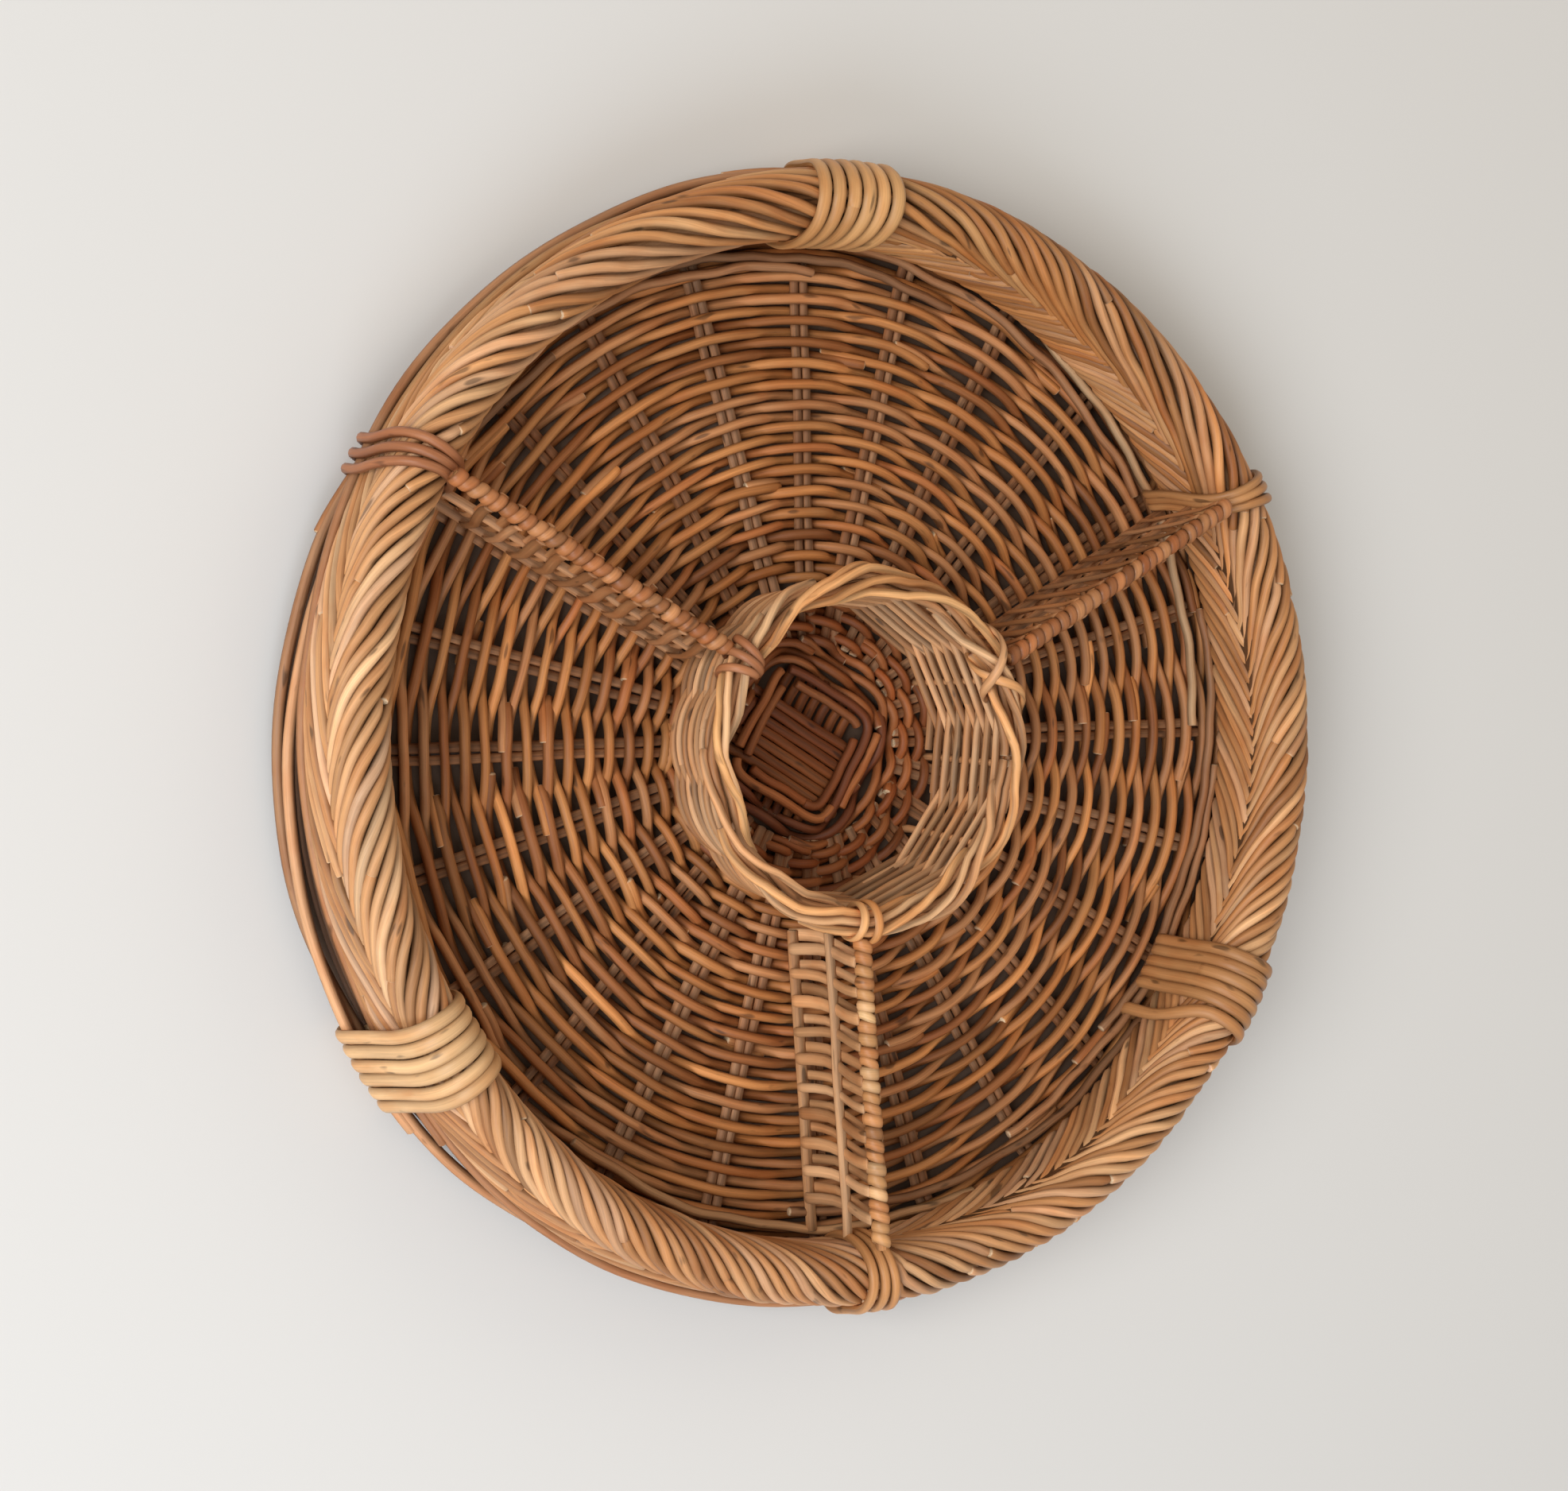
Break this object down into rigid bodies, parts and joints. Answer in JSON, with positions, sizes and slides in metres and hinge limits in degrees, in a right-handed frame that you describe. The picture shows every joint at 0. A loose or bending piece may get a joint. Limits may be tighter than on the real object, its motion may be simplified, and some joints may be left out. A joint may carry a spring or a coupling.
{
  "type": "divided wicker serving tray",
  "caption": "Round divided wicker tray with a plaited herringbone rim, a central dip cup and three lattice dividers.",
  "frame": {"origin": "centre of the underside, on the plane that the tray rests on", "axes": "+Z out of the tray, towards whoever looks into it; +Y towards the rim binding at the top of the tray as it hangs; +X to the right as it hangs"},
  "size_m": [0.4378, 0.4458, 0.068],
  "materials": {
    "rim_willow": "satin peeled willow",
    "floor_willow": "satin peeled willow, aged darker",
    "stake_willow": "dull willow",
    "cup_willow": "satin peeled willow, pale",
    "binding_cane": "satin cane"
  },
  "bodies": {
    "root": {"rim_plait_outer": "rim_willow", "rim_plait_inner": "rim_willow", "side_wale_lower": "rim_willow", "side_wale_middle": "rim_willow", "side_wale_upper": "rim_willow", "tray_floor_weave": "floor_willow", "cup_floor_weave": "floor_willow", "slath_sticks_upper": "floor_willow", "slath_sticks_lower": "floor_willow", "stake_pair_01": "stake_willow", "stake_pair_02": "stake_willow", "stake_pair_03": "stake_willow", "stake_pair_04": "stake_willow", "stake_pair_05": "stake_willow", "stake_pair_06": "stake_willow", "stake_pair_07": "stake_willow", "stake_pair_08": "stake_willow", "stake_pair_09": "stake_willow", "stake_pair_10": "stake_willow", "stake_pair_11": "stake_willow", "stake_pair_12": "stake_willow", "stake_pair_13": "stake_willow", "stake_pair_14": "stake_willow", "stake_pair_15": "stake_willow", "stake_pair_16": "stake_willow", "stake_pair_17": "stake_willow", "stake_pair_18": "stake_willow", "stake_pair_19": "stake_willow", "stake_pair_20": "stake_willow", "stake_pair_21": "stake_willow", "stake_pair_22": "stake_willow", "stake_pair_23": "stake_willow", "stake_pair_24": "stake_willow", "rim_core_hoop": "stake_willow", "divider_left_rail": "stake_willow", "divider_left_foot_rod": "stake_willow", "divider_left_middle_rod": "stake_willow", "divider_right_rail": "stake_willow", "divider_right_foot_rod": "stake_willow", "divider_right_middle_rod": "stake_willow", "divider_bottom_rail": "stake_willow", "divider_bottom_foot_rod": "stake_willow", "divider_bottom_middle_rod": "stake_willow", "cup_wall_weave": "cup_willow", "cup_border": "cup_willow", "rim_binding_top": "binding_cane", "rim_binding_lower_right": "binding_cane", "rim_binding_lower_left": "binding_cane", "divider_hoop_left": "binding_cane", "divider_hoop_right": "binding_cane", "divider_hoop_bottom": "binding_cane", "cup_lashing_left": "binding_cane", "cup_lashing_right": "binding_cane", "cup_lashing_bottom": "binding_cane", "divider_left_rail_binding": "binding_cane", "divider_left_lattice": "binding_cane", "divider_right_rail_binding": "binding_cane", "divider_right_lattice": "binding_cane", "divider_bottom_rail_binding": "binding_cane", "divider_bottom_lattice": "binding_cane"}
  },
  "joints": []
}
